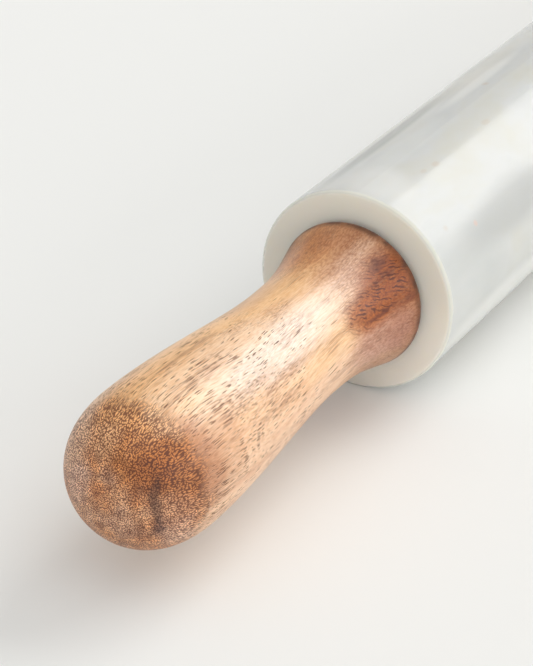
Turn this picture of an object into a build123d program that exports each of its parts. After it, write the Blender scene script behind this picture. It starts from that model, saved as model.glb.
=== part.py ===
from build123d import *
import os
from math import cos, radians, tan

os.makedirs("parts", exist_ok=True)

# The pin's axis is X and its middle is the origin. All sizes are in millimetres.

# Stone barrel
barrel_diameter = 50.0
barrel_length = 250.0
barrel_rim_rounding = 1.0
barrel_mouth_chamfer = 0.5
axle_room = 1.5  # free space round the rod in the middle of the bore

# Steel rod, M10 at both ends
rod_diameter = 10.0
rod_end_chamfer = 1.0

# Nylon bush at each end of the bore
bush_wall = 3.0
bush_length = 16.0
bush_flange_width = 2.5
bush_flange_thickness = 2.0
bush_mouth_chamfer = 0.5
bush_running_clearance = 0.05
bush_glue_line = 0.05

# Washers and nut that hold the rod endways
washer_diameter = 20.0  # the nylon washer and the steel one that backs it
thrust_washer_thickness = 1.0
steel_washer_thickness = 2.0
washer_hole_clearance = 0.25
washer_edge_chamfer = 0.2
nut_across_flats = 16.0
nut_thickness = 5.0
nut_corner_angle = 30.0
nut_face_share = 0.95  # the flat of a nut's end, as a share of its width
thread_clearance = 0.05
end_play = 0.3  # free travel of the rod each way

# Brass insert in the root of each handle
insert_wall = 2.5
insert_length = 25.0
insert_collar_width = 1.5
insert_collar_thickness = 1.5
insert_mouth_chamfer = 0.5
insert_fit_clearance = 0.02

# Turned handle: a flared root, a waist, a long swell and a blunt round tip
handle_length = 104.7
handle_rub_clearance = 0.3  # left between wood and stone when the rod is pushed over
handle_lip_radius = 18.05
handle_lip_place = 1.7
handle_root_drop = 0.85  # how far the wood rounds down from the lip to its inner end
handle_lip_angle = 14.0  # degrees that the outline falls at, just past the lip
handle_waist_radius = 14.15
handle_swell_radius = 17.5
handle_hole_spare = 3.0  # empty depth past the end of the rod
handle_waist_place_share = 0.282
handle_swell_place_share = 0.801

# How far each smooth stretch keeps its end direction, as shares of the stretch
flare_pull_shares = (0.31, 0.52)
swell_pull_shares = (0.28, 0.38)
tip_pull_shares = (0.66, 0.65)

# Clearances round the running parts
recess_clearance = 0.8

# Sizes that follow from those above
barrel_radius = barrel_diameter / 2
barrel_half = barrel_length / 2
rod_radius = rod_diameter / 2
bore_radius = rod_radius + axle_room
bush_inner_radius = rod_radius + bush_running_clearance
bush_outer_radius = bush_inner_radius + bush_wall
bush_flange_radius = bush_outer_radius + bush_flange_width
bush_seat_radius = bush_outer_radius + bush_glue_line
nut_corner_radius = nut_across_flats / 2 / cos(radians(30))
nut_face_radius = nut_across_flats / 2 * nut_face_share
insert_radius = rod_radius + thread_clearance + insert_wall
insert_collar_radius = insert_radius + insert_collar_width

# Places along the axis, from the middle outwards
handle_start = barrel_half + end_play + handle_rub_clearance
nut_start = handle_start - nut_thickness
steel_washer_start = nut_start - steel_washer_thickness
thrust_washer_start = steel_washer_start - thrust_washer_thickness
recess_floor = thrust_washer_start - end_play - bush_flange_thickness
bush_start = recess_floor - bush_length
rod_half = handle_start + insert_length
recess_radius = recess_clearance + max(
    bush_flange_radius,
    washer_diameter / 2,
    nut_corner_radius,
)


def round_bar(radius, start, end):
    """A cylinder on the axis, between two places."""
    at_start = Plane(origin=(start, 0, 0), z_dir=(1, 0, 0))
    return extrude(at_start * Circle(radius), end - start)


def rims(solid, radius, place):
    """The circular edges of a radius that lie at a place along the axis."""
    close = radius / 1000
    found = solid.edges().filter_by(GeomType.CIRCLE)
    found = found.filter_by(lambda e: abs(e.radius - radius) < close)
    return found.filter_by(lambda e: abs(e.center().X - place) < close)


def make_washer(start, thickness):
    """A flat washer on the rod, with its outer corners broken."""
    end = start + thickness
    ring = round_bar(washer_diameter / 2, start, end)
    corners = rims(ring, washer_diameter / 2, start) + rims(ring, washer_diameter / 2, end)
    ring = chamfer(corners, washer_edge_chamfer)
    return ring - round_bar(rod_radius + washer_hole_clearance, start, end)


def make_barrel():
    """The stone, bored through, with a bush seat and a recess in each end."""
    stone = round_bar(barrel_radius, -barrel_half, barrel_half)
    outer_rims = rims(stone, barrel_radius, -barrel_half) + rims(stone, barrel_radius, barrel_half)
    stone = fillet(outer_rims, barrel_rim_rounding)
    stone -= round_bar(bore_radius, -barrel_half, barrel_half)
    for side in (-1, 1):
        stone -= round_bar(bush_seat_radius, side * bush_start, side * barrel_half)
        stone -= round_bar(recess_radius, side * recess_floor, side * barrel_half)
    mouths = rims(stone, recess_radius, -barrel_half) + rims(stone, recess_radius, barrel_half)
    return chamfer(mouths, barrel_mouth_chamfer)


def make_rod():
    """The axle, with its ends broken to start the threads."""
    rod = round_bar(rod_radius, -rod_half, rod_half)
    ends = rims(rod, rod_radius, -rod_half) + rims(rod, rod_radius, rod_half)
    return chamfer(ends, rod_end_chamfer)


def make_bush():
    """A sleeve in the stone, with a flange on the floor of the recess."""
    flange_end = recess_floor + bush_flange_thickness
    bush = round_bar(bush_outer_radius, bush_start, recess_floor)
    bush += round_bar(bush_flange_radius, recess_floor, flange_end)
    bush -= round_bar(bush_inner_radius, bush_start, flange_end)
    mouths = rims(bush, bush_inner_radius, bush_start) + rims(bush, bush_inner_radius, flange_end)
    return chamfer(mouths, bush_mouth_chamfer)


def make_nut():
    """A thin hexagon nut, its corners turned off at both faces."""
    at_start = Plane(origin=(nut_start, 0, 0), z_dir=(1, 0, 0))
    hexagon = at_start * RegularPolygon(nut_across_flats / 2, 6, major_radius=False)
    nut = extrude(hexagon, nut_thickness)
    turned_off = nut_corner_radius - nut_face_radius
    blank = round_bar(nut_corner_radius, nut_start, handle_start)
    for place, which in ((nut_start, 0), (handle_start, -1)):
        blank = chamfer(
            rims(blank, nut_corner_radius, place),
            turned_off,
            turned_off * tan(radians(nut_corner_angle)),
            reference=blank.faces().sort_by(Axis.X)[which],
        )
    nut &= blank
    return nut - round_bar(rod_radius + thread_clearance, nut_start, handle_start)


def make_insert():
    """A brass sleeve with a collar that lies flush in the handle's end."""
    insert = round_bar(insert_radius, handle_start, rod_half)
    insert += round_bar(insert_collar_radius, handle_start, handle_start + insert_collar_thickness)
    insert -= round_bar(rod_radius + thread_clearance, handle_start, rod_half)
    mouth = rims(insert, rod_radius + thread_clearance, handle_start)
    return chamfer(mouth, insert_mouth_chamfer)


def pull(start, end, share):
    """The place a share of the way from one place to another."""
    return start + (end - start) * share


def make_handle():
    """The turned wood, revolved from its outline and bored for the insert and the rod."""
    lip = handle_start + handle_lip_place
    waist = handle_start + handle_length * handle_waist_place_share
    swell = handle_start + handle_length * handle_swell_place_share
    tip = handle_start + handle_length
    fall = tan(radians(handle_lip_angle))

    flare_out = pull(lip, waist, flare_pull_shares[0])
    flare_in = pull(waist, lip, flare_pull_shares[1])
    flare = Bezier(
        (lip, handle_lip_radius),
        (flare_out, handle_lip_radius - (flare_out - lip) * fall),
        (flare_in, handle_waist_radius),
        (waist, handle_waist_radius),
    )
    rise = Bezier(
        (waist, handle_waist_radius),
        (pull(waist, swell, swell_pull_shares[0]), handle_waist_radius),
        (pull(swell, waist, swell_pull_shares[1]), handle_swell_radius),
        (swell, handle_swell_radius),
    )
    end = Bezier(
        (swell, handle_swell_radius),
        (pull(swell, tip, tip_pull_shares[0]), handle_swell_radius),
        (tip, handle_swell_radius * tip_pull_shares[1]),
        (tip, 0),
    )
    root_end = (handle_start, handle_lip_radius - handle_root_drop)
    root = TangentArc((lip, handle_lip_radius), root_end, tangent=(-1, fall))
    closing = Polyline(root_end, (handle_start, 0), (tip, 0))
    outline = make_face([flare, rise, end, root, closing])
    wood = revolve(outline, Axis.X)

    wood -= round_bar(insert_radius + insert_fit_clearance, handle_start, rod_half)
    collar_seat = insert_collar_radius + insert_fit_clearance
    wood -= round_bar(collar_seat, handle_start, handle_start + insert_collar_thickness)
    wood -= round_bar(rod_radius + thread_clearance, rod_half, rod_half + handle_hole_spare)
    return wood


def save(node, solid, colour):
    """Writes one sub-part under its own name."""
    solid.label = node
    solid.color = Color(*colour)
    export_step(solid, f"parts/{node}.step")


# Colours, as red, green and blue
stone_white = (0.88, 0.87, 0.84)
steel_grey = (0.62, 0.63, 0.65)
nylon_white = (0.93, 0.93, 0.90)
brass_yellow = (0.78, 0.62, 0.28)
wood_brown = (0.62, 0.38, 0.19)

save("marble_roller", make_barrel(), stone_white)
save("axle_rod", make_rod(), steel_grey)

# The pieces of the right end, each made again at the left by half a turn about Z
end_pieces = [
    ("bearing_bush", make_bush(), nylon_white),
    ("thrust_washer", make_washer(thrust_washer_start, thrust_washer_thickness), nylon_white),
    ("steel_washer", make_washer(steel_washer_start, steel_washer_thickness), steel_grey),
    ("jam_nut", make_nut(), steel_grey),
    ("threaded_insert", make_insert(), brass_yellow),
    ("handle", make_handle(), wood_brown),
]
for name, piece, colour in end_pieces:
    save("right_" + name, piece, colour)
    save("left_" + name, Rot(0, 0, 180) * piece, colour)
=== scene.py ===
from collections import namedtuple
from math import cos, pi, radians, sin

import bpy
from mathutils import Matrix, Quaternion, Vector


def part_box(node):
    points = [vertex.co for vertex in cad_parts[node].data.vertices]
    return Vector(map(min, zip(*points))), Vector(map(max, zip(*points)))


# Marble rolling pin: the finish of every piece, a pale floor, soft light and the photograph's camera.
# Lengths are in metres, apart from those of the finishes, which are in millimetres.
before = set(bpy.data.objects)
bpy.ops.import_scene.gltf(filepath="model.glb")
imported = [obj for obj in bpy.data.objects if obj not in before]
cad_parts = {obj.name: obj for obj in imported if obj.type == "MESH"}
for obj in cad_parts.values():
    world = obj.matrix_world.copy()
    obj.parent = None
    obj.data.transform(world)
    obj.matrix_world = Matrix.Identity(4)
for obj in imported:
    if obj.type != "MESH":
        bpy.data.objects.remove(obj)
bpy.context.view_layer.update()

per_millimetre = 1000.0


def srgb(red, green, blue):
    """A colour as it looks on screen, from 0 to 255, turned into the light that it stands for."""
    light = []
    for value in (red, green, blue):
        share = value / 255
        light.append(share / 12.92 if share <= 0.04045 else ((share + 0.055) / 1.055) ** 2.4)
    return (*light, 1.0)


# The photograph's camera, worked out from the barrel's end circle and the handle's outline
image_height = 666
focal_pixels = 2400
sensor = 36  # millimetres
camera_place = (-0.56232, -0.22905, 0.25622)
camera_heading = 30.0  # degrees from +X towards +Y
camera_dip = 28.44  # degrees below level

# Three lamps far off on the right: a bright slanted one behind the pin, a dimmer one that carries its
# lower end on, and a long low one beside the pin. Angles are in degrees and powers in watts.
Lamp = namedtuple("Lamp", "name heading height_angle tilt width height power")
lamp_distance = 16.0
lamps = [
    Lamp("slanted_strip", -23.5, 37.7, 34, 11.2, 10.0, 1300),
    Lamp("strip_end", -39, 11.4, -14, 8.0, 4.7, 168),
    Lamp("low_strip", -85, 16, 0, 24.0, 8.4, 900),
]

# The surround: dim, with a bright glow high up behind the camera and a faint wide one overhead.
# A glow ends where the cosine of the angle from its middle falls to its edge.
Glow = namedtuple("Glow", "heading height_angle edge strength")
glows = [
    Glow(-142, 55, 0.6, 0.75),
    Glow(0, 90, 0.3, 0.5),
]
surround_grey = (0.8, 0.8, 0.8, 1.0)
surround_dim = 0.34
surround_low = 0.22  # the height, as a sine, up to which the surround looks like the floor
surround_low_blend = 0.03  # how far below that height the one starts to turn into the other

# Floor, rising into a wall all round
board = srgb(239, 239, 236)
backdrop = srgb(240, 239, 235)  # what the camera sees where it sees no shading
floor_flat = 3.0
floor_flat_rings = (0.25, 0.5, 0.75, 1.0)  # where its rings of corners lie, as shares of the flat part
floor_bend = 0.6
floor_segments = 96
floor_bend_rings = 12
floor_lift = 0.14  # the share of the floor that the camera sees without its shading
floor_lift_full = floor_bend / 2  # the height from which it sees none of the wall's shading

# Noise in a finish, whose stretch is its waves to the millimetre along each axis. A layer runs from one
# level to another between two values of its noise. A drift pushes places about, as far as its reach.
Layer = namedtuple("Layer", "stretch low high at_low at_high detail roughness", defaults=(0, 1, 2, 0.5))
Drift = namedtuple("Drift", "stretch reach")
noise_middle = 0.5
noise_usual = (0.3, 0.7)  # nearly all values lie between these

# Scattered spots
spot_core = 0.8  # the share of its radius in which a spot is solid
spot_choice_blend = 0.04  # how softly a cell passes from empty to filled


class Graph:
    """The nodes of a material or a world. Its calls take numbers or sockets and return sockets."""

    def __init__(self, owner):
        owner.use_nodes = True
        self.owner = owner
        self.nodes = owner.node_tree.nodes
        self.links = owner.node_tree.links
        self.nodes.clear()

    def add(self, kind, inputs, **settings):
        node = self.nodes.new("ShaderNode" + kind)
        for name, value in settings.items():
            setattr(node, name, value)
        for name, value in inputs.items():
            if isinstance(value, bpy.types.NodeSocket):
                self.links.new(value, node.inputs[name])
            else:
                node.inputs[name].default_value = value
        return node

    def place(self, location=(0, 0, 0), turn=0.0, flip=1):
        """The point being shaded, in millimetres."""
        here = self.add("TexCoord", {}).outputs["Object"]
        scale = (flip * per_millimetre, per_millimetre, per_millimetre)
        rotation = (radians(turn), 0, 0)
        inputs = {"Vector": here, "Location": location, "Rotation": rotation, "Scale": scale}
        return self.add("Mapping", inputs, vector_type="POINT").outputs[0]

    def facing_along(self):
        """How far the surface faces along the pin's axis, from 0 to 1."""
        normal = self.add("TexCoord", {}).outputs["Normal"]
        along = self.add("SeparateXYZ", {0: normal}).outputs["X"]
        return self.math("ABSOLUTE", along)

    def math(self, operation, first, second=0.0, third=0.0):
        return self.add("Math", {0: first, 1: second, 2: third}, operation=operation).outputs[0]

    def vector(self, operation, first, second=(0, 0, 0)):
        return self.add("VectorMath", {0: first, 1: second}, operation=operation).outputs[0]

    def size(self, vector):
        return self.add("VectorMath", {0: vector}, operation="LENGTH").outputs["Value"]

    def along(self, vector, direction):
        node = self.add("VectorMath", {0: vector, 1: direction}, operation="DOT_PRODUCT")
        return node.outputs["Value"]

    def step(self, value, low, high, at_low=0.0, at_high=1.0):
        """Eases from one level to another as the value goes from low to high."""
        inputs = {
            "Value": value,
            "From Min": low,
            "From Max": high,
            "To Min": at_low,
            "To Max": at_high,
        }
        return self.add("MapRange", inputs, interpolation_type="SMOOTHSTEP").outputs["Result"]

    def noise(self, place, stretch, detail=2.0, roughness=0.5, output="Fac"):
        """Cloudy values round one half."""
        spot = self.vector("MULTIPLY", place, stretch)
        inputs = {"Vector": spot, "Scale": 1.0, "Detail": detail, "Roughness": roughness}
        return self.add("TexNoise", inputs).outputs[output]

    def layer(self, place, layer):
        """How strongly a layer shows at the place."""
        clouds = self.noise(place, layer.stretch, layer.detail, layer.roughness)
        return self.step(clouds, layer.low, layer.high, layer.at_low, layer.at_high)

    def ridge(self, clouds):
        """How far noise is from its middle, which it passes through along winding lines."""
        return self.math("ABSOLUTE", self.math("SUBTRACT", clouds, noise_middle))

    def cells(self, place, stretch):
        """Scattered points: the distance to the nearest in widths of a cell, and its random colour."""
        spot = self.vector("MULTIPLY", place, stretch)
        return self.add("TexVoronoi", {"Vector": spot, "Scale": 1.0, "Randomness": 1.0}).outputs

    def flat_cells(self, place, fineness, randomness):
        """The distance to the nearest of scattered fibres, which run along the pin."""
        spot = self.add("SeparateXYZ", {0: place}).outputs
        spot = self.add("CombineXYZ", {"X": spot["Y"], "Y": spot["Z"]}).outputs[0]
        inputs = {"Vector": spot, "Scale": fineness, "Randomness": randomness}
        return self.add("TexVoronoi", inputs, voronoi_dimensions="2D").outputs["Distance"]

    def spots(self, place, stretch, radius, share):
        """Scattered spots with a radius in widths of a cell, in a share of the cells."""
        cells = self.cells(place, stretch)
        chance = self.along(cells["Color"], (1, 0, 0))
        chosen = self.step(self.math("SUBTRACT", share, chance), 0.0, spot_choice_blend)
        inside = self.step(cells["Distance"], radius, radius * spot_core)
        return self.math("MULTIPLY", chosen, inside)

    def wander(self, place, drift):
        """The place, pushed about by slow noise."""
        push = self.noise(place, drift.stretch, detail=1.0, output="Color")
        push = self.vector("SUBTRACT", push, (noise_middle, noise_middle, noise_middle))
        push = self.vector("MULTIPLY", push, drift.reach)
        return self.vector("ADD", place, push)

    def mix(self, share, first, second, blend="MIX"):
        inputs = {0: share, 6: first, 7: second}
        return self.add("Mix", inputs, data_type="RGBA", blend_type=blend).outputs[2]

    def ramp(self, value, stops):
        """A colour for a value, from (value, colour) stops."""
        node = self.add("ValToRGB", {"Fac": value})
        elements = node.color_ramp.elements
        while len(elements) < len(stops):
            elements.new(1.0)
        for element, (at, colour) in zip(elements, stops):
            element.position = at
            element.color = colour
        return node.outputs["Color"]

    def bump(self, height, depth, strength):
        """A surface tilted by a height, where a height of 1 is depth millimetres."""
        inputs = {"Height": height, "Distance": depth / per_millimetre, "Strength": strength}
        return self.add("Bump", inputs).outputs["Normal"]

    def surface(self, shader, output="OutputMaterial"):
        """Ends the graph with its shader and hands back the material or world."""
        self.add(output, {"Surface": shader.outputs[0]})
        return self.owner


def new_graph(name):
    return Graph(bpy.data.materials.new(name))


# A patch of colour in stone or wood: an ellipsoid round a place given by its distance along the axis,
# its distance from the axis and its angle, 0 at +Y and 90 at the top. Its sizes are in millimetres.
Patch = namedtuple("Patch", "along radius angle half_length half_width half_depth strength colour")
patch_edge = 1.25  # where a patch ends, in half sizes
patch_core = 0.45  # where it has its full strength


def cover(g, place, patch):
    """How strongly a patch covers the place."""
    angle = radians(patch.angle)
    centre = (patch.along, patch.radius * cos(angle), patch.radius * sin(angle))
    reach = (patch.half_length, patch.half_depth, patch.half_width)
    inputs = {"Vector": place, "Location": centre, "Rotation": (angle, 0, 0), "Scale": reach}
    local = g.add("Mapping", inputs, vector_type="TEXTURE").outputs[0]
    return g.step(g.size(local), patch_edge, patch_core, 0.0, patch.strength)


def patched(g, colour, place, patches):
    """The colour, with each patch laid over it."""
    for patch in patches:
        colour = g.mix(cover(g, place, patch), colour, patch.colour)
    return colour


# Wood

# How far places drift: the grain's lines, slowly and then finely, and the edges of the patches
grain_drift = Drift((0.02, 0.05, 0.05), (0, 5, 5))
grain_fine_drift = Drift((0.08, 0.25, 0.25), (0, 0.45, 0.45))
patch_drift = Drift((0.12, 0.25, 0.25), (4, 2, 2))
patch_fine_drift = Drift((0.6, 0.9, 0.9), (1.2, 0.8, 0.8))

# The wood's own colour, by a value that swings with slow clouds and rises across the grain
growth_stretch = (0.008, 0.1, 0.1)
growth_swing = 1.7
growth_start = -0.35
growth_rise = (0, 0.024, 0.006)  # to the millimetre
growth_colours = [
    (0.1, srgb(250, 211, 177)),
    (0.42, srgb(251, 209, 164)),
    (0.66, srgb(246, 194, 140)),
    (0.98, srgb(220, 162, 106)),
]

# Broad bands, thin dark lines and fine fibres along the grain. A line runs where its noise is within its
# half width of the middle value. Bands and fibres are multiplied with what is under them.
Lines = namedtuple("Lines", "stretch half_width strength")
band_brown = srgb(206, 160, 122)
bands = Layer((0.012, 0.38, 0.38), 0.48, 0.75, 0, 0.35, detail=3)
line_brown = srgb(158, 106, 74)
dark_lines = [
    Lines((0.012, 0.5, 0.5), 0.025, 0.3),
    Lines((0.02, 1.6, 1.6), 0.06, 0.5),
    Lines((0.016, 2.6, 2.6), 0.06, 0.5),
]
line_breaks = Layer((0.05, 0.3, 0.3), 0.4, 0.62)
fibre_dark = srgb(241, 228, 212)
fibres = Layer((0.36, 4.0, 4.0), 0.38, 0.64, detail=3, roughness=0.6)

# Open pores: long dashes, short dashes and faint fine ones, each with the radius of a pore in widths of
# its cell and the share of the cells that hold one. They crowd together, and fill up towards the end.
Pores = namedtuple("Pores", "stretch radius share strength")
pore_layers = [
    Pores((0.14, 4.3, 4.3), 0.42, 0.34, 1.0),
    Pores((0.36, 4.2, 4.2), 0.42, 0.34, 1.0),
    Pores((0.24, 5.8, 5.8), 0.42, 0.5, 0.35),
]
pore_crowds = Layer((0.04, 0.2, 0.2), 0.4, 0.64, 0.16, 1)
pore_span = (22, 72)  # where they start to fill up and where they are full, out from the root
pore_fewest = 0.06  # near the root, as a share of those at the end
pore_facing = (0.6, 0.2)  # they fade where the wood turns to face along the pin
pore_dark = srgb(54, 32, 24)
pore_brown = srgb(140, 90, 58)
pore_shade_stretch = (0.2, 0.8, 0.8)
pore_strength = 0.9

# The root: browner and mottled, with painted shade along its rim where the lip curls into the gap at the
# stone. Spans start at the first place, in millimetres out from the root, and are complete at the
# second.
root_brown = srgb(211, 192, 183)
root_span = (30, 12)
mottle_brown = srgb(200, 160, 126)
mottle = Layer((0.9, 2.1, 2.1), 0.42, 0.62, 0, 0.5, detail=3)
mottle_span = (32, 16)
# Painted shade: the root's rim darkened where its lip curls into the gap at the stone, and a darker
# painted shadow in the gap itself, broken here and there
rim_shade_brown = srgb(140, 78, 44)
rim_span = (4, 0.5)
rim_strength = 0.75
rim_shadow_dark = srgb(84, 46, 28)
rim_dark_span = (3.2, 1.5)
rim_shadow_breaks = Layer((0.2, 0.3, 0.3), 0.35, 0.6, 0.3, 0.9, detail=3)

# Curly wood: short strokes side by side, with their directions along and across, their waves in
# radians to the millimetre, how far these wobble in radians, and a mottle between them
curl_dark = srgb(84, 28, 4)
curl_along = (-0.9, -0.26, -0.35)
curl_across = (0.44, -0.54, -0.72)
curl_waves = 7.5
curl_wobble = 7.0
curl_wobble_stretch = (0.2, 0.2, 1.0)
curl_stroke = (-0.3, 0.7)  # where in its wave a stroke starts and is darkest
curl_strength = 0.9
curl_breaks = Layer((0.4, 0.7, 1.0), 0.42, 0.58)
curl_mottle = Layer((1.6, 2.6, 1.0), 0.42, 0.62, 0, 0.35)

# End grain: clouds of three colours, darker here and there, and pale specks with dark wood between
end_stretch = (0.06, 0.16, 0.16)
end_colours = [
    (0.34, srgb(214, 144, 92)),
    (0.5, srgb(208, 152, 112)),
    (0.66, srgb(208, 160, 129)),
]
end_dark = srgb(176, 140, 118)
end_shades = Layer((0.2, 0.42, 0.42), 0.48, 0.7, 0, 0.6, detail=3)
end_facing = (0.1, 0.36)  # how far the wood faces along the pin where end grain starts and is complete
end_ragged = 0.2  # how unevenly it starts
end_ragged_stretch = (0.3, 0.3, 0.3)
end_span = (60, 70)
between_specks = (0.36, 0.265, 0.235, 1.0)
on_specks = (1.6, 1.71, 1.66, 1.0)
speck_fineness = 2.9  # cells to the millimetre
speck_randomness = 0.9  # 0 is a regular grid
speck_radius = 0.4  # in widths of a cell
speck_drift = Drift((0.5, 0.5, 0.5), (0, 1, 1))
speck_swing_stretch = (0.3, 0.5, 0.5)
speck_swing = 0.3  # how much they widen and narrow
speck_clear = (0.3, 0.65, 0.7, 1.0)  # from faint where they are narrow to clear where they are wide

# The wood's gloss: the roughness of its fibres, what pores and end grain add, and its relief
wood_specular = 0.55
wood_fibre_stretch = (0.12, 3.0, 3.0)
wood_rough = (0.2, 0.8, 0.27, 0.36)  # two values of the fibres' noise and the roughness at each
pore_rough = 0.5
end_rough = 0.1
fibre_height = 0.2  # heights are shares of the relief's depth
pore_height = -1.0
wood_relief = (0.04, 0.4)  # its depth in millimetres and its strength, as in the other reliefs

# The photographed handle's own marks, placed out from its root, and two painted highlights among them
left_patches = [
    Patch(55, 16, 66, 70, 9, 8, 0.75, srgb(255, 207, 149)),
    # Painted highlight: a pale streak where the lamps' reflection runs along the handle
    Patch(47, 17, 127, 32, 8, 6, 0.8, srgb(247, 231, 218)),
    Patch(37, 14.5, 66, 12, 4, 4, 0.5, srgb(216, 166, 118)),
    Patch(77, 17.3, 150, 9, 7, 5, 0.4, srgb(236, 188, 148)),
    Patch(91, 16.5, 154, 7, 12, 5, 0.75, srgb(196, 134, 96)),
    Patch(12, 16.5, 66, 12, 7, 6, 0.6, srgb(212, 140, 80)),
    Patch(86, 16.8, 85, 14, 12, 6, 0.75, srgb(255, 206, 152)),
    Patch(89, 17, 45, 10, 5, 5, 0.45, srgb(250, 220, 194)),
    Patch(82, 17.4, 156, 6, 7, 5, 0.5, srgb(212, 160, 124)),
    Patch(14, 15.5, 182, 14, 7, 6, 0.8, srgb(206, 154, 132)),
    Patch(7, 16.5, 145, 13, 8, 6, 0.95, srgb(182, 96, 20)),
    Patch(17, 15.5, 152, 10, 5.0, 5, 0.9, srgb(186, 102, 26)),
    Patch(7.5, 17, 127, 3.2, 1.6, 3, 0.6, srgb(84, 26, 22)),
    Patch(9, 16.5, 137, 5, 1.1, 3, 0.5, srgb(112, 44, 26)),
    Patch(3.6, 17.5, 162, 2.4, 1.5, 3, 0.5, srgb(122, 52, 38)),
    Patch(14, 15.5, 161, 7, 0.45, 3, 0.75, srgb(112, 48, 24)),
    Patch(62, 16.5, 158, 24, 4, 5, 0.5, srgb(255, 216, 182)),
    Patch(66, 16.5, 102, 36, 5, 4, 0.75, srgb(255, 222, 190)),
    Patch(6, 17, 190, 8, 6, 5, 0.5, srgb(184, 122, 98)),
    Patch(7, 17, 82, 6, 6, 5, 0.45, srgb(188, 124, 84)),
    Patch(12, 16, 56, 8, 6, 5, 0.5, srgb(208, 140, 82)),
    # Painted highlight: a pale streak where the lamps' reflection crosses the root
    Patch(11, 17, 110, 10, 2.6, 4, 0.5, srgb(230, 194, 168)),
]
# The marks of its end grain
left_end_patches = [
    Patch(94, 15.5, 90, 9, 12, 5, 0.6, srgb(222, 160, 100)),
    Patch(95, 15.5, 151, 8, 10, 6, 0.9, srgb(176, 104, 48)),
    Patch(93, 16, 116, 3, 5, 4, 0.5, srgb(242, 196, 154)),
    Patch(99.5, 13, 132, 4, 5, 4, 0.5, srgb(170, 98, 50)),
    Patch(91, 17, 43, 7, 6, 5, 0.4, srgb(244, 210, 188)),
    Patch(102, 11.5, 118, 7, 8, 6, 0.75, srgb(194, 120, 58)),
    Patch(101, 12, 143, 5, 5, 5, 0.7, srgb(152, 82, 34)),
    Patch(101.5, 10.3, 174, 8, 7.5, 0.9, 0.6, srgb(74, 42, 34)),
    Patch(101, 11.6, 199, 6, 3.2, 1.8, 0.6, srgb(96, 64, 62)),
    Patch(99, 14, 183, 7, 5, 4, 0.4, srgb(208, 154, 122)),
    Patch(97, 14.5, 208, 6, 5, 3, 0.45, srgb(226, 186, 164)),
    Patch(98.5, 13.5, 42, 9, 7, 5, 0.6, srgb(230, 188, 156)),
    Patch(103.5, 7.5, 20, 4, 5, 4, 0.5, srgb(230, 194, 176)),
    Patch(101, 12, 80, 6, 4, 4, 0.5, srgb(230, 178, 134)),
]
# The places where it is curly
left_curls = [
    Patch(8, 16.5, 142, 9, 7, 6, 1.0, curl_dark),
    Patch(18, 15.5, 151, 10, 4.5, 5, 1.0, curl_dark),
]

# The other handle's marks, which are outside the photograph
right_patches = [
    Patch(40, 15, 20, 50, 9, 12, 0.5, srgb(206, 150, 92)),
    Patch(20, 15, 120, 18, 3, 5, 0.45, srgb(178, 116, 74)),
    Patch(66, 17, 215, 24, 2.6, 5, 0.45, srgb(186, 118, 80)),
    Patch(30, 15, 290, 16, 4, 6, 0.4, srgb(196, 146, 124)),
]
right_end_patches = [
    Patch(100, 10, 75, 6, 9, 2, 0.6, srgb(146, 104, 94)),
    Patch(99, 12, 250, 7, 7, 5, 0.55, srgb(204, 130, 78)),
]
right_curls = [Patch(22, 15, 300, 8, 5, 5, 0.7, curl_dark)]

# A handle: 1 if it points along +X and -1 if not, how many degrees its wood is turned about the axis,
# how far off in the tree its grain is from the other's, in millimetres, and its marks
Handle = namedtuple("Handle", "points turn shift patches end_patches curls")
left_handle = Handle(-1, 0, (0, 0, 0), left_patches, left_end_patches, left_curls)
right_handle = Handle(1, 35, (310, 47, 82), right_patches, right_end_patches, right_curls)


def growth(g, grain):
    """The wood's slow change of colour across the grain, from pale to brown."""
    across = g.along(grain, growth_rise)
    clouds = g.noise(grain, growth_stretch, detail=3.0)
    value = g.math("MULTIPLY_ADD", clouds, growth_swing, growth_start)
    value = g.math("ADD", value, across)
    return g.ramp(value, growth_colours)


def streaked(g, colour, grain):
    """The colour, with broad bands, thin dark lines and fine fibres along the grain."""
    colour = g.mix(g.layer(grain, bands), colour, band_brown, "MULTIPLY")
    for each in dark_lines:
        thin = g.step(g.ridge(g.noise(grain, each.stretch)), each.half_width, 0.0)
        broken = g.layer(grain, line_breaks._replace(at_high=each.strength))
        colour = g.mix(g.math("MULTIPLY", thin, broken), colour, line_brown)
    return g.mix(g.layer(grain, fibres), colour, fibre_dark, "MULTIPLY")


def curled(g, colour, place, curls):
    """The colour, with short slanting dark strokes side by side where the wood is curly."""
    across = g.along(place, curl_across)
    spot = g.add("CombineXYZ", {"X": g.along(place, curl_along), "Y": across}).outputs[0]
    wobble = g.math("MULTIPLY", g.noise(spot, curl_wobble_stretch, detail=1.0), curl_wobble)
    waves = g.math("SINE", g.math("MULTIPLY_ADD", across, curl_waves, wobble))
    strokes = g.step(waves, *curl_stroke, 0.0, curl_strength)
    strokes = g.math("MULTIPLY", strokes, g.layer(spot, curl_breaks))
    strokes = g.math("MAXIMUM", strokes, g.layer(spot, curl_mottle))
    for patch in curls:
        share = g.math("MULTIPLY", strokes, cover(g, place, patch))
        colour = g.mix(share, colour, patch.colour)
    return colour


def rimmed(g, colour, place, out):
    """The colour, with painted shade where the root's lip curls into the gap at the stone, broken here
    and there.
    """
    colour = g.mix(g.step(out, *rim_span, 0.0, rim_strength), colour, rim_shade_brown)
    dark = g.math("MULTIPLY", g.step(out, *rim_dark_span), g.layer(place, rim_shadow_breaks))
    return g.mix(dark, colour, rim_shadow_dark)


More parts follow.
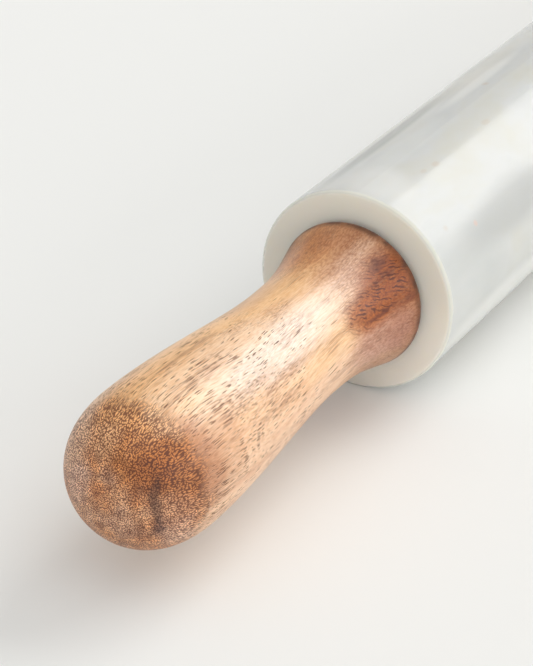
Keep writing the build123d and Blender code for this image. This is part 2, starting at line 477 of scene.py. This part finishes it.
def side_colour(g, handle, place, loose, grain, out):
    """The wood as it shows along the handle's side, without its pores."""
    colour = growth(g, g.vector("SUBTRACT", grain, handle.shift))
    colour = g.mix(g.step(out, *root_span), colour, root_brown, "MULTIPLY")
    colour = patched(g, colour, loose, handle.patches)
    colour = streaked(g, colour, grain)
    mottled = g.math("MULTIPLY", g.layer(place, mottle), g.step(out, *mottle_span))
    colour = g.mix(mottled, colour, mottle_brown, "MULTIPLY")
    colour = curled(g, colour, loose, handle.curls)
    return rimmed(g, colour, place, out)


def end_colour(g, handle, place, loose, grain):
    """The ends of the fibres: dark wood full of fine pale specks."""
    ground = g.ramp(g.noise(grain, end_stretch, detail=4.0), end_colours)
    ground = g.mix(g.layer(place, end_shades), ground, end_dark, "MULTIPLY")
    ground = patched(g, ground, loose, handle.end_patches)
    swing = g.noise(place, speck_swing_stretch)
    near = g.flat_cells(g.wander(place, speck_drift), speck_fineness, speck_randomness)
    near = g.math("MULTIPLY_ADD", swing, -speck_swing, near)
    specks = g.math("MULTIPLY", g.step(near, speck_radius, 0.0), g.step(swing, *speck_clear))
    return g.mix(1.0, ground, g.mix(specks, between_specks, on_specks), "MULTIPLY")


def pore_cover(g, grain, out):
    """Where the open pores lie: long and short dashes along the sides, and fine ones between."""
    reach = g.math("MULTIPLY", g.step(out, *pore_span, pore_fewest), g.layer(grain, pore_crowds))
    covered = 0.0
    for each in pore_layers:
        dashes = g.spots(grain, each.stretch, each.radius, g.math("MULTIPLY", reach, each.share))
        covered = g.math("MAXIMUM", covered, g.math("MULTIPLY", dashes, each.strength))
    return covered


def wood(name, node, handle):
    """Oiled hardwood with open pores, its grain along the pin."""
    g = new_graph(name)
    low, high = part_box(node)
    root = min(abs(low.x), abs(high.x)) * per_millimetre
    place = g.place((-root, 0, 0), handle.turn, handle.points)
    loose = g.wander(g.wander(place, patch_drift), patch_fine_drift)
    grain = g.vector("ADD", g.wander(place, grain_drift), handle.shift)
    grain = g.wander(grain, grain_fine_drift)
    out = g.add("SeparateXYZ", {0: place}).outputs["X"]

    ragged = g.noise(grain, end_ragged_stretch, detail=3.0)
    ragged = g.math("MULTIPLY_ADD", ragged, end_ragged, -end_ragged * noise_middle)
    facing = g.math("ADD", g.facing_along(), ragged)
    ended = g.math("MULTIPLY", g.step(facing, *end_facing), g.step(out, *end_span))
    pored = g.math("MULTIPLY", pore_cover(g, grain, out), g.step(facing, *pore_facing))

    colour = side_colour(g, handle, place, loose, grain, out)
    colour = g.mix(ended, colour, end_colour(g, handle, place, loose, grain))
    shade = g.mix(g.noise(grain, pore_shade_stretch), pore_dark, pore_brown)
    colour = g.mix(g.math("MULTIPLY", pored, pore_strength), colour, shade)

    fine = g.noise(grain, wood_fibre_stretch)
    rough = g.step(fine, *wood_rough)
    rough = g.math("MULTIPLY_ADD", pored, pore_rough, rough)
    rough = g.math("MULTIPLY_ADD", ended, end_rough, rough)
    height = g.math("MULTIPLY", pored, pore_height)
    height = g.math("MULTIPLY_ADD", fine, fibre_height, height)
    shader = g.add("BsdfPrincipled", {
        "Base Color": colour,
        "Roughness": rough,
        "Specular IOR Level": wood_specular,
        "Normal": g.bump(height, *wood_relief),
    })
    return g.surface(shader)


# Marble

marble_white = srgb(209, 210, 207)
marble_grey = srgb(201, 203, 200)
marble_cream = srgb(208, 207, 198)
marble_fold = Drift((0.014, 0.02, 0.02), (30, 26, 26))
marble_stretch = (0.022, 0.05, 0.05)
marble_roughness = 0.55
marble_colours = [
    (0.32, marble_grey),
    (0.48, marble_white),
    (0.62, marble_cream),
    (0.72, marble_white),
]

# Veins run where their noise is near its middle value, and come and go
vein_grey = srgb(190, 192, 189)
vein_stretch = (0.012, 0.035, 0.02)
vein_half_width = 0.03
vein_fading = Layer((0.01, 0.03, 0.03), 0.4, 0.7, 0.1, 0.6)

# Specks scattered all over
speck_tan = srgb(200, 180, 158)
speck_pink = srgb(222, 184, 164)
dot_stretch = (0.045, 0.06, 0.06)
dot_radii = (0.09, 0.04)  # its edge and its core, in widths of a cell
dot_strength = 0.5

# The rounded rim, with a painted highlight, and the honed end face, by how far the stone faces along the
# pin
painted_rim_highlight = srgb(244, 244, 230)
rim_pale_strength = 0.6
rim_pale_starts = (0.1, 0.5)
rim_pale_ends = (0.98, 0.7)
face_cream = srgb(239, 237, 226)
face_starts = (0.75, 0.98)

# The stone's gloss, the light that passes into it, and its relief
marble_specular = 0.26
marble_rough = (0.17, 0.24)
marble_rough_stretch = (0.08, 0.08, 0.08)
face_rough = 0.2
marble_glow = 0.35
marble_glow_radius = (1.0, 0.85, 0.65)
marble_glow_depth = 0.004  # metres
grit_stretch = (1.4, 1.4, 1.4)
grit_relief = (0.02, 0.05)

# The photographed marks, placed from the middle of the pin, among them long bands of painted light and
# shade
stone_patches = [
    Patch(-49, 25, 78, 22, 2.2, 6, 0.55, srgb(236, 236, 230)),
    # Painted shade: a grey band along the barrel below its highlight
    Patch(-86, 25, 151, 30, 6.5, 8, 0.85, srgb(188, 189, 186)),
    # Painted shade: a dark band along the barrel's upper edge, standing in for its dark reflection there
    Patch(-85, 25, 64, 38, 3.0, 6, 0.85, srgb(166, 168, 164)),
    # Painted light: a pale band along the top of the barrel
    Patch(-100, 25, 84, 24, 3.6, 6, 0.5, srgb(224, 225, 220)),
    Patch(-117, 25, 92, 9, 9, 6, 0.6, srgb(230, 230, 226)),
    # Painted light: a pale band along the barrel's underside, where light from the floor falls
    Patch(-90, 25, 200, 40, 5, 8, 0.7, srgb(228, 228, 224)),
    Patch(-40, 25, 66, 30, 5, 8, 0.45, srgb(206, 202, 188)),
    Patch(-99.3, 25, 107, 1.6, 0.9, 2, 0.28, speck_tan),
    Patch(-104.5, 25, 105.9, 1.3, 0.7, 2, 0.22, speck_tan),
    Patch(-71.4, 25, 106.2, 2.0, 1.0, 2, 0.25, speck_tan),
    Patch(-104.6, 25, 145.8, 0.9, 0.8, 2, 0.45, speck_pink),
]
# Painted light: the low part of the photographed end face made paler, where light from the floor and
# through the stone falls
painted_face_light = [Patch(-125, 21, 232, 6, 26, 12, 0.9, srgb(252, 248, 238))]


def marble(name):
    """Polished white stone with clouds, faint veins and specks, honed on its ends."""
    g = new_graph(name)
    place = g.place()
    folded = g.wander(place, marble_fold)
    clouds = g.noise(folded, marble_stretch, detail=4.0, roughness=marble_roughness)
    colour = g.ramp(clouds, marble_colours)

    ridge = g.ridge(g.noise(folded, vein_stretch, detail=3.0))
    veins = g.math("MULTIPLY", g.step(ridge, vein_half_width, 0.0), g.layer(place, vein_fading))
    colour = g.mix(veins, colour, vein_grey)
    dots = g.step(g.cells(place, dot_stretch)["Distance"], *dot_radii, 0.0, dot_strength)
    colour = g.mix(dots, colour, speck_tan)
    colour = patched(g, colour, place, stone_patches)

    facing = g.facing_along()
    # Painted highlight along the rounded rim at each end
    rim = g.math("MULTIPLY", g.step(facing, *rim_pale_starts), g.step(facing, *rim_pale_ends))
    colour = g.mix(g.math("MULTIPLY", rim, rim_pale_strength), colour, painted_rim_highlight)
    honed = g.step(facing, *face_starts)
    # The honed end face, with painted light on its low part
    colour = g.mix(honed, colour, patched(g, face_cream, place, painted_face_light))

    rough = g.step(g.noise(place, marble_rough_stretch), *noise_usual, *marble_rough)
    rough = g.math("MULTIPLY_ADD", honed, face_rough, rough)
    grit = g.noise(place, grit_stretch, detail=3.0)
    shader = g.add("BsdfPrincipled", {
        "Base Color": colour,
        "Roughness": rough,
        "Specular IOR Level": marble_specular,
        "Subsurface Weight": marble_glow,
        "Subsurface Radius": marble_glow_radius,
        "Subsurface Scale": marble_glow_depth,
        "Normal": g.bump(grit, *grit_relief),
    })
    return g.surface(shader)


# Hardware inside the pin

steel_bright = srgb(206, 207, 209)
steel_dull = srgb(190, 190, 190)
turned_steel_dull = srgb(188, 189, 192)
brass_bright = srgb(226, 199, 140)
brass_dull = srgb(206, 174, 112)
drawn_stains = Layer((0.04, 0.2, 0.2), 0.35, 0.7, detail=3)
turned_stains = Layer((0.15, 0.3, 0.3), 0.35, 0.7, detail=3)
drawn_lines = (0.05, 5.0, 5.0)
steel_turning = 4.0  # waves to the millimetre of the lines that a lathe leaves
brass_turning = 3.0
drawn_rough = (0.22, 0.38)
turned_steel_rough = (0.24, 0.4)
turned_brass_rough = (0.22, 0.36)
tool_relief = (0.01, 0.3)

nylon_pale = srgb(238, 236, 226)
nylon_cream = srgb(228, 225, 211)
nylon_clouds = Layer((0.2, 0.2, 0.2), 0.35, 0.65, detail=3)
nylon_skin = (2.5, 2.5, 2.5)
nylon_rough = (0.4, 0.52)
nylon_glow = 0.15
nylon_glow_radius = (1.0, 0.9, 0.75)
nylon_glow_depth = 0.0015  # metres
nylon_relief = (0.02, 0.2)


def metal(g, colour, tool_lines, rough):
    """Bare metal with fine tool lines."""
    shader = g.add("BsdfPrincipled", {
        "Base Color": colour,
        "Metallic": 1.0,
        "Roughness": g.step(tool_lines, *noise_usual, *rough),
        "Normal": g.bump(tool_lines, *tool_relief),
    })
    return g.surface(shader)


def turned_metal(name, bright, dull, turning, rough):
    """Metal with fine lines round the axis, as a lathe leaves them."""
    g = new_graph(name)
    place = g.place()
    from_axis = g.size(g.vector("MULTIPLY", place, (0, 1, 1)))
    along = g.along(place, (1, 0, 0))
    spot = g.add("CombineXYZ", {"X": along, "Y": from_axis}).outputs[0]
    colour = g.mix(g.layer(place, turned_stains), bright, dull)
    return metal(g, colour, g.noise(spot, (turning, turning, turning)), rough)


def drawn_steel(name):
    """Bright bar with fine lines along it."""
    g = new_graph(name)
    place = g.place()
    colour = g.mix(g.layer(place, drawn_stains), steel_bright, steel_dull)
    return metal(g, colour, g.noise(place, drawn_lines), drawn_rough)


def nylon(name):
    """Natural nylon, moulded and slightly cloudy."""
    g = new_graph(name)
    place = g.place()
    skin = g.noise(place, nylon_skin, detail=3.0)
    shader = g.add("BsdfPrincipled", {
        "Base Color": g.mix(g.layer(place, nylon_clouds), nylon_pale, nylon_cream),
        "Roughness": g.step(skin, *noise_usual, *nylon_rough),
        "Subsurface Weight": nylon_glow,
        "Subsurface Radius": nylon_glow_radius,
        "Subsurface Scale": nylon_glow_depth,
        "Normal": g.bump(skin, *nylon_relief),
    })
    return g.surface(shader)


def dress(nodes, material):
    """Gives CAD nodes their finish."""
    for node in nodes:
        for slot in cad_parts[node].material_slots:
            slot.material = material


def both(name):
    return ["left_" + name, "right_" + name]


# Floor, light and camera

def seen_rays(g):
    """1 for the rays by which the camera sees a thing, also in a mirror or through glass."""
    rays = g.add("LightPath", {})
    seen = g.math("MAXIMUM", rays.outputs["Is Camera Ray"], rays.outputs["Is Glossy Ray"])
    return g.math("MAXIMUM", seen, rays.outputs["Is Transmission Ray"])


def floor_colour():
    """Pale matt board, which the camera and mirrors see flatter than it is lit, the wall above all."""
    g = new_graph("pale_board")
    lit = g.add("BsdfDiffuse", {"Color": board}).outputs[0]
    flat = g.add("Emission", {"Color": backdrop, "Strength": 1.0}).outputs[0]
    height = g.add("SeparateXYZ", {0: g.add("TexCoord", {}).outputs["Object"]}).outputs["Z"]
    lift = g.step(height, 0.0, floor_lift_full, floor_lift)
    share = g.math("MULTIPLY", seen_rays(g), lift)
    return g.surface(g.add("MixShader", {0: share, 1: lit, 2: flat}))


def make_floor(height):
    """A round floor that curves up into a low wall."""
    rings = [(floor_flat * share, 0.0) for share in floor_flat_rings]
    for step in range(1, floor_bend_rings + 1):
        angle = pi / 2 * step / floor_bend_rings
        rings.append((floor_flat + floor_bend * sin(angle), floor_bend * (1 - cos(angle))))
    corners = [(0, 0, height)]
    for radius, rise in rings:
        for spot in range(floor_segments):
            turn = 2 * pi * spot / floor_segments
            corners.append((radius * cos(turn), radius * sin(turn), height + rise))
    faces = []
    for spot in range(floor_segments):
        after = (spot + 1) % floor_segments
        faces.append((0, 1 + spot, 1 + after))
        for ring in range(len(rings) - 1):
            inner = 1 + ring * floor_segments
            outer = inner + floor_segments
            faces.append((inner + spot, outer + spot, outer + after, inner + after))
    mesh = bpy.data.meshes.new("floor")
    mesh.from_pydata(corners, [], faces)
    mesh.polygons.foreach_set("use_smooth", [True] * len(faces))
    floor = bpy.data.objects.new("floor", mesh)
    bpy.context.scene.collection.objects.link(floor)
    mesh.materials.append(floor_colour())


def direction(heading, height):
    """A unit vector, from a heading and an angle above level in degrees."""
    heading, height = radians(heading), radians(height)
    return Vector((cos(heading) * cos(height), sin(heading) * cos(height), sin(height)))


def make_lamps():
    """Each lamp faces the pin."""
    for each in lamps:
        lamp = bpy.data.lights.new(each.name, "AREA")
        lamp.shape = "RECTANGLE"
        lamp.size = each.width
        lamp.size_y = each.height
        lamp.energy = each.power
        box = bpy.data.objects.new(each.name, lamp)
        towards = direction(each.heading, each.height_angle)
        aim = towards.to_track_quat("Z", "Y") @ Quaternion((0, 0, 1), radians(each.tilt))
        box.location = towards * lamp_distance
        box.rotation_euler = aim.to_euler()
        bpy.context.scene.collection.objects.link(box)


def make_surround():
    """The dim world with its glows, which the camera sees low down as more of the floor's wall."""
    g = Graph(bpy.data.worlds.new("surround"))
    towards = g.add("TexCoord", {}).outputs["Generated"]
    level = surround_dim
    for glow in glows:
        near = g.along(towards, direction(glow.heading, glow.height_angle))
        level = g.math("ADD", level, g.step(near, glow.edge, 1.0, 0.0, glow.strength))
    height = g.add("SeparateXYZ", {0: towards}).outputs["Z"]
    low = g.step(height, surround_low, surround_low - surround_low_blend)
    low = g.math("MULTIPLY", seen_rays(g), low)
    colour = g.mix(low, surround_grey, backdrop)
    strength = g.math("MULTIPLY_ADD", low, g.math("SUBTRACT", 1.0, level), level)
    sky = g.add("Background", {"Color": colour, "Strength": strength})
    bpy.context.scene.world = g.surface(sky, "OutputWorld")


def make_camera():
    lens = bpy.data.cameras.new("camera")
    lens.sensor_fit = "VERTICAL"
    lens.sensor_height = sensor
    lens.sensor_width = sensor
    lens.lens = focal_pixels * sensor / image_height
    camera = bpy.data.objects.new("camera", lens)
    camera.location = camera_place
    camera.rotation_euler = (radians(90 - camera_dip), 0, radians(camera_heading - 90))
    bpy.context.scene.collection.objects.link(camera)
    bpy.context.scene.camera = camera


dress(["marble_roller"], marble("marble"))
dress(["left_handle"], wood("left_wood", "left_handle", left_handle))
dress(["right_handle"], wood("right_wood", "right_handle", right_handle))
dress(["axle_rod"], drawn_steel("drawn_steel"))
steel = turned_metal("turned_steel", steel_bright, turned_steel_dull, steel_turning, turned_steel_rough)
brass = turned_metal("turned_brass", brass_bright, brass_dull, brass_turning, turned_brass_rough)
dress(both("steel_washer") + both("jam_nut"), steel)
dress(both("threaded_insert"), brass)
dress(both("bearing_bush") + both("thrust_washer"), nylon("nylon"))

make_floor(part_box("marble_roller")[0].z)
make_lamps()
make_surround()
make_camera()
bpy.context.scene.view_settings.view_transform = "Standard"
